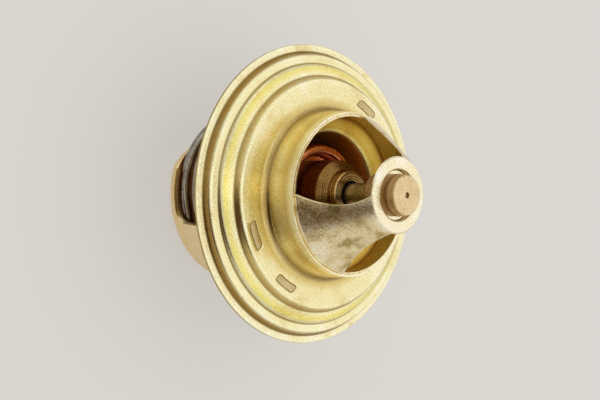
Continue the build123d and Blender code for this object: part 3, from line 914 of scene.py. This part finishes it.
def stakeTabs(sizes):
    corner = sizes["corner"]
    middle = Vector(((sizes["inner"] + sizes["outer"]) / 2, (sizes["near"] + sizes["far"]) / 2))
    half = Vector(((sizes["outer"] - sizes["inner"]) / 2 - corner, (sizes["far"] - sizes["near"]) / 2 - corner))
    outline = []
    for across, along, start in ((1, 1, 0), (-1, 1, 90), (-1, -1, 180), (1, -1, 270)):
        for turn in range(0, 91, 15):
            angle = math.radians(start + turn)
            arc = corner * Vector((math.cos(angle), math.sin(angle)))
            outline.append(middle + Vector((across * half.x, along * half.y)) + arc)
        if across == along:
            side = outline[-1]
            outline += [side - Vector((2 * half.x * across * step / 3, 0)) for step in (1, 2)]
        else:
            side = outline[-1]
            outline += [side - Vector((0, 2 * half.y * along * step / 6)) for step in range(1, 6)]
    shape = bmesh.new()
    for flipX in (1, -1):
        for flipY in (1, -1):
            places = [(math.sqrt(p.x ** 2 - p.y ** 2) * flipX * mm, p.y * flipY * mm) for p in outline]
            low = [shape.verts.new((*place, sizes["low"] * mm)) for place in places]
            top = [shape.verts.new((*place, sizes["top"] * mm)) for place in places]
            shape.faces.new(low[::-1])
            shape.faces.new(top)
            for here in range(len(low)):
                there = (here + 1) % len(low)
                shape.faces.new((low[here], low[there], top[there], top[here]))
    bmesh.ops.recalc_face_normals(shape, faces=shape.faces)
    mesh = bpy.data.meshes.new("stakedTabs")
    shape.to_mesh(mesh)
    shape.free()
    piece = bpy.data.objects.new("stakedTabs", mesh)
    bpy.context.collection.objects.link(piece)
    bevel = piece.modifiers.new("upset", "BEVEL")
    bevel.width = sizes["upset"] * mm
    bevel.segments = 3
    bevel.limit_method = "ANGLE"
    bakeShape(piece, 50)
    return piece


stakedTabs = stakeTabs(tabSizes)
dress(stakedTabs, "frame", tabBrass, "cage")
print("tabs staked")

# Main spring: conical wire with a closed turn at each end
springSizes = {
    "Low Radius": 18.2,
    "Top Radius": 13.35,
    "Wire Radius": 1.15,
    "Low Height": -23.3,
    "Top Height": -1.8,
    "Active Turns": 4.0,
    "Closed Turns": 1.0,
    "Closed Pitch": 2.4,
}


def springTree(sizes, material):
    tree = bpy.data.node_groups.new("springCoil", "GeometryNodeTree")
    tree.interface.new_socket("Geometry", in_out="OUTPUT", socket_type="NodeSocketGeometry")
    for label, value in sizes.items():
        socket = tree.interface.new_socket(label, in_out="INPUT", socket_type="NodeSocketFloat")
        socket.default_value = value
    given = tree.nodes.new("NodeGroupInput").outputs
    result = tree.nodes.new("NodeGroupOutput")

    def math2(operation, a, b=0.0):
        node = tree.nodes.new("ShaderNodeMath")
        node.operation = operation
        for socket, value in zip(node.inputs, (a, b)):
            if isinstance(value, (int, float)):
                socket.default_value = value
            else:
                tree.links.new(value, socket)
        return node.outputs[0]

    stepsPerTurn = 72
    count = round(sizes["Active Turns"] + 2 * sizes["Closed Turns"]) * stepsPerTurn + 1
    line = tree.nodes.new("GeometryNodeCurvePrimitiveLine")
    resample = tree.nodes.new("GeometryNodeResampleCurve")
    resample.inputs["Count"].default_value = count
    tree.links.new(line.outputs[0], resample.inputs["Curve"])
    share = math2("DIVIDE", tree.nodes.new("GeometryNodeInputIndex").outputs[0], count - 1)
    turns = math2("ADD", given["Active Turns"], math2("MULTIPLY", given["Closed Turns"], 2.0))
    turn = math2("MULTIPLY", share, turns)
    topStart = math2("ADD", given["Active Turns"], given["Closed Turns"])
    closedTop = math2("MAXIMUM", math2("SUBTRACT", turn, topStart), 0.0)
    closed = math2("ADD", math2("MINIMUM", turn, given["Closed Turns"]), closedTop)
    opened = math2("SUBTRACT", turn, closed)
    rise = math2("SUBTRACT", given["Top Height"], given["Low Height"])
    closedRise = math2("MULTIPLY", math2("MULTIPLY", given["Closed Turns"], 2.0), given["Closed Pitch"])
    openPitch = math2("DIVIDE", math2("SUBTRACT", rise, closedRise), given["Active Turns"])
    climb = math2("ADD", math2("MULTIPLY", closed, given["Closed Pitch"]), math2("MULTIPLY", opened, openPitch))
    height = math2("ADD", climb, given["Low Height"])
    widening = math2("SUBTRACT", given["Top Radius"], given["Low Radius"])
    radius = math2("ADD", given["Low Radius"], math2("MULTIPLY", share, widening))
    angle = math2("MULTIPLY", turn, 2 * math.pi)
    place = tree.nodes.new("ShaderNodeCombineXYZ")
    tree.links.new(math2("MULTIPLY", radius, math2("COSINE", angle)), place.inputs[0])
    tree.links.new(math2("MULTIPLY", radius, math2("SINE", angle)), place.inputs[1])
    tree.links.new(height, place.inputs[2])
    scaled = tree.nodes.new("ShaderNodeVectorMath")
    scaled.operation = "SCALE"
    scaled.inputs["Scale"].default_value = mm
    tree.links.new(place.outputs[0], scaled.inputs[0])
    setPlace = tree.nodes.new("GeometryNodeSetPosition")
    tree.links.new(resample.outputs[0], setPlace.inputs["Geometry"])
    tree.links.new(scaled.outputs[0], setPlace.inputs["Position"])
    ring = tree.nodes.new("GeometryNodeCurvePrimitiveCircle")
    ring.inputs["Resolution"].default_value = 24
    tree.links.new(math2("MULTIPLY", given["Wire Radius"], mm), ring.inputs["Radius"])
    tube = tree.nodes.new("GeometryNodeCurveToMesh")
    tube.inputs["Fill Caps"].default_value = True
    tree.links.new(setPlace.outputs[0], tube.inputs["Curve"])
    tree.links.new(ring.outputs[0], tube.inputs["Profile Curve"])
    realize = tree.nodes.new("GeometryNodeRealizeInstances")
    finish = tree.nodes.new("GeometryNodeSetMaterial")
    finish.inputs["Material"].default_value = material
    tree.links.new(tube.outputs[0], realize.inputs[0])
    tree.links.new(realize.outputs[0], finish.inputs["Geometry"])
    tree.links.new(finish.outputs[0], result.inputs[0])
    return tree


def windSpring(sizes, material):
    piece = bpy.data.objects.new("mainSpring", bpy.data.meshes.new("mainSpring"))
    bpy.context.collection.objects.link(piece)
    winding = piece.modifiers.new("winding", "NODES")
    winding.node_group = springTree(sizes, material)
    bakeShape(piece, 50)
    return piece


mainSpring = windSpring(springSizes, darkWire)
dress(mainSpring, "frame", darkWire, "spring", "main_spring")
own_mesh(mainSpring)
print("spring wound")

# Sealed inner pieces keep their solids
innerDress = {"wax_charge": copperedWax, "rubber_sleeve": blackRubber, "sleeve_washer": groundSteel}
for nodeName, material in innerDress.items():
    nodes[nodeName].data.materials.clear()
    nodes[nodeName].data.materials.append(material)

# Floor and light. Directions are taken from the photograph: right, up, towards the viewer
floorLook = {
    "half": 3.0,
    "height": -0.02743,
    "colour": (0.74, 0.715, 0.67),
    "backdrop": (0.74, 0.72, 0.68),
    "share": 0.6,
}
worldLook = {"colour": (0.74, 0.74, 0.745), "strength": 1.0}
lamps = {
    "rightPanel": {"from": (0.80, 0.0, 0.12), "size": (1.6, 1.6), "power": 2.2, "colour": (1.0, 0.99, 0.98)},
    "topPanel": {"from": (0.15, 0.65, 0.35), "size": (0.5, 0.5), "power": 0.20, "colour": (0.94, 0.97, 1.0)},
    "stripLight": {"from": (0.24, 0.05, 0.60), "size": (0.06, 0.6), "power": 0.10, "colour": (1.0, 1.0, 1.0)},
}
softFlag = {
    "from": (-0.270, -0.175, 0.39),
    "along": (0.85, -0.5, 0.0),
    "half": (0.60, 0.24),
    "core": 0.45,
    "colour": (0.12, 0.07, 0.03),
}


def addFloor(look):
    half, level = look["half"], look["height"]
    mesh = bpy.data.meshes.new("floor")
    corners = [(-half, -half, level), (half, -half, level), (half, half, level), (-half, half, level)]
    mesh.from_pydata(corners, [], [(0, 1, 2, 3)])
    floor = bpy.data.objects.new("floor", mesh)
    bpy.context.collection.objects.link(floor)
    material, tree, shader = newMaterial("paleFloor")
    shader.inputs["Base Color"].default_value = (*look["colour"], 1)
    shader.inputs["Roughness"].default_value = 0.9
    shader.inputs["Specular IOR Level"].default_value = 0.1
    # part of the backdrop's brightness is its own, so the shadow stays faint
    glow = addNode(tree, "ShaderNodeEmission", Color=(*look["backdrop"], 1))
    blendNode = addNode(tree, "ShaderNodeMixShader")
    path = addNode(tree, "ShaderNodeLightPath")
    seen = addNode(tree, "ShaderNodeMath", operation="MAXIMUM")
    tree.links.new(path.outputs["Is Camera Ray"], seen.inputs[0])
    tree.links.new(path.outputs["Is Glossy Ray"], seen.inputs[1])
    share = addNode(tree, "ShaderNodeMath", operation="MULTIPLY")
    share.inputs[1].default_value = look["share"]
    tree.links.new(seen.outputs[0], share.inputs[0])
    tree.links.new(share.outputs[0], blendNode.inputs["Fac"])
    tree.links.new(shader.outputs[0], blendNode.inputs[1])
    tree.links.new(glow.outputs[0], blendNode.inputs[2])
    # from below the floor is clear, so the underside can be looked at
    under = addNode(tree, "ShaderNodeMixShader")
    tree.links.new(addNode(tree, "ShaderNodeNewGeometry").outputs["Backfacing"], under.inputs["Fac"])
    tree.links.new(blendNode.outputs[0], under.inputs[1])
    tree.links.new(addNode(tree, "ShaderNodeBsdfTransparent").outputs[0], under.inputs[2])
    tree.links.new(under.outputs[0], tree.nodes["Material Output"].inputs["Surface"])
    mesh.materials.append(material)


def addLamps(plan, view):
    right, up, back = viewAxes(view)
    for name, lamp in plan.items():
        x, y, z = lamp["from"]
        place = right * x + up * y + back * z
        data = bpy.data.lights.new(name, "AREA")
        data.shape = "RECTANGLE"
        data.size, data.size_y = lamp["size"]
        data.energy = lamp["power"]
        data.color = lamp["colour"]
        light = bpy.data.objects.new(name, data)
        light.location = place
        light.rotation_euler = place.to_track_quat("Z", "Y").to_euler()
        bpy.context.collection.objects.link(light)


def addFlag(flag, view):
    # a dull dark cloth behind the camera, thinning to nothing at its edge, seen only in the metal
    axes = viewAxes(view)
    place, along = [
        sum((axis * share for axis, share in zip(axes, flag[key])), Vector()) for key in ("from", "along")
    ]
    facing = place.normalized()
    along = (along - facing * along.dot(facing)).normalized()
    turned = Matrix((along, facing.cross(along), facing)).transposed().to_4x4()
    shape = bmesh.new()
    bmesh.ops.create_circle(shape, cap_ends=True, segments=64, radius=1.0)
    bmesh.ops.scale(shape, vec=(*flag["half"], 1.0), verts=shape.verts)
    mesh = bpy.data.meshes.new("softFlag")
    shape.to_mesh(mesh)
    shape.free()
    piece = bpy.data.objects.new("softFlag", mesh)
    piece.matrix_world = Matrix.Translation(place) @ turned
    bpy.context.collection.objects.link(piece)
    material, tree, shader = newMaterial("dullCloth")
    shader.inputs["Base Color"].default_value = (*flag["colour"], 1)
    shader.inputs["Roughness"].default_value = 1.0
    share = addNode(tree, "ShaderNodeVectorMath", operation="DIVIDE")
    share.inputs[1].default_value = (*flag["half"], 1.0)
    tree.links.new(objectPoint(tree), share.inputs[0])
    far = addNode(tree, "ShaderNodeVectorMath", operation="LENGTH")
    tree.links.new(share.outputs[0], far.inputs[0])
    cover = valueRange(tree, far.outputs["Value"], 1.0, 0.0, flag["core"], 1.0)
    tree.links.new(cover, shader.inputs["Alpha"])
    mesh.materials.append(material)
    piece.visible_camera = False
    piece.visible_diffuse = False
    piece.visible_shadow = False


def setWorld(look):
    world = bpy.data.worlds.new("studio")
    world.use_nodes = True
    ground = world.node_tree.nodes["Background"]
    ground.inputs["Color"].default_value = (*look["colour"], 1)
    ground.inputs["Strength"].default_value = look["strength"]
    bpy.context.scene.world = world


addFloor(floorLook)
addLamps(lamps, viewpoint)
addFlag(softFlag, viewpoint)
setWorld(worldLook)
print("stage lit")
